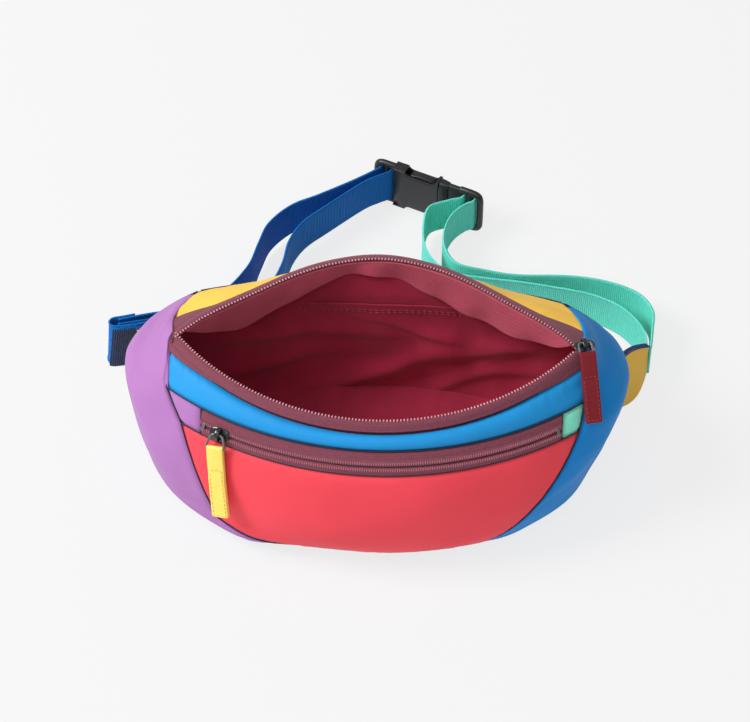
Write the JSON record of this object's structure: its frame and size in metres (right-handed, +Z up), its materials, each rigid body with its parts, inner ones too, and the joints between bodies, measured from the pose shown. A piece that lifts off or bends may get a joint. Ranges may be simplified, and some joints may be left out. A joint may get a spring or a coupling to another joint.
{
  "type": "waist pack",
  "caption": "Colour-block waist pack standing open, with front zip pocket, lined main compartment, belt wings, looped webbing and a side release buckle.",
  "frame": {"origin": "centre of the flat patch under the body that the pack stands on, below the middle of the mouth", "axes": "+X to the right seen from the front, +Y towards the back, +Z up"},
  "size_m": [0.3231, 0.297, 0.1111],
  "materials": {
    "red_fabric": "woven",
    "sky_fabric": "woven",
    "purple_fabric": "woven",
    "blue_fabric": "woven",
    "yellow_fabric": "woven",
    "navy_fabric": "woven",
    "mint_fabric": "woven",
    "burgundy_tape": "woven",
    "coil_plastic": "satin moulded",
    "lining_fabric": "woven",
    "foam": "soft",
    "black_metal": "gloss black",
    "yellow_pull": "folded and stitched",
    "crimson_pull": "folded and stitched",
    "blue_webbing": "woven",
    "mint_webbing": "woven",
    "buckle_plastic": "satin moulded"
  },
  "bodies": {
    "pack": {"front_pocket_panel": "red_fabric", "upper_front_panel": "sky_fabric", "zip_end_left": "purple_fabric", "zip_end_right": "mint_fabric", "front_zip_tape_upper": "burgundy_tape", "front_zip_tape_lower": "burgundy_tape", "front_zip_coils": "coil_plastic", "front_zip_stops": "black_metal", "gusset_left": "purple_fabric", "gusset_right": "blue_fabric", "top_back_panel": "yellow_fabric", "back_panel": "navy_fabric", "back_foam": "foam", "main_tape_front": "burgundy_tape", "main_tape_back": "burgundy_tape", "main_chain_front": "coil_plastic", "main_chain_back": "coil_plastic", "lining_front": "lining_fabric", "lining_left": "lining_fabric", "lining_right": "lining_fabric", "lining_back": "lining_fabric", "lip_facing": "lining_fabric", "inner_pocket": "lining_fabric", "front_pocket_bag": "lining_fabric", "main_slider": "black_metal", "wing_left": "yellow_fabric", "wing_right": "yellow_fabric", "strap_left": "blue_webbing", "strap_right": "mint_webbing", "buckle_female": "buckle_plastic"},
    "front_slider": {"front_slider": "black_metal"},
    "front_ring": {"front_pull_ring": "black_metal"},
    "front_tab": {"front_pull_tab": "yellow_pull"},
    "main_ring": {"main_pull_ring": "black_metal"},
    "main_tab": {"main_pull_tab": "crimson_pull"},
    "buckle_male": {"buckle_male": "buckle_plastic"},
    "prong_top": {"prong_top": "buckle_plastic"},
    "prong_bottom": {"prong_bottom": "buckle_plastic"}
  },
  "joints": [
    {"name": "front_slider_travel", "type": "hinge", "parent": "pack", "child": "front_slider", "pos_m": [0, 0.122, 0.073], "axis": [0, 0, 1], "range_deg": [0, 56.11]},
    {"name": "front_ring_swing", "type": "hinge", "parent": "front_slider", "child": "front_ring", "pos_m": [-0.08709, -0.05119, 0.0752], "axis": [-0.9215, 0.3718, -0.1126], "range_deg": [0, 100]},
    {"name": "front_tab_swing", "type": "hinge", "parent": "front_ring", "child": "front_tab", "pos_m": [-0.08809, -0.05565, 0.06863], "axis": [-0.9215, 0.3718, -0.1126], "range_deg": [0, 60]},
    {"name": "main_ring_swing", "type": "hinge", "parent": "pack", "child": "main_ring", "pos_m": [0.1135, 0, 0.10465], "axis": [-0.9781, -0.2079, 0], "range_deg": [0, 140]},
    {"name": "main_tab_swing", "type": "hinge", "parent": "main_ring", "child": "main_tab", "pos_m": [0.11514, -0.00773, 0.1034], "axis": [-0.9781, -0.2079, 0], "range_deg": [0, 60]},
    {"name": "buckle_release", "type": "slide", "parent": "pack", "child": "buckle_male", "axis": [0.915, -0.4035, 0], "range_m": [0, 0.03], "deforming": ["strap_right"]},
    {"name": "prong_top_squeeze", "type": "hinge", "parent": "buckle_male", "child": "prong_top", "pos_m": [0.03334, 0.19065, 0.0266], "axis": [-0.4035, -0.915, 0], "range_deg": [0, 7], "stiffness_Nm_per_rad": 0.1},
    {"name": "prong_bottom_squeeze", "type": "hinge", "parent": "buckle_male", "child": "prong_bottom", "pos_m": [0.03334, 0.19065, 0.007], "axis": [0.4035, 0.915, 0], "range_deg": [0, 7], "stiffness_Nm_per_rad": 0.1}
  ],
  "couplings": [
    {"joint": "prong_bottom_squeeze", "follows": "prong_top_squeeze", "ratio": 1}
  ]
}
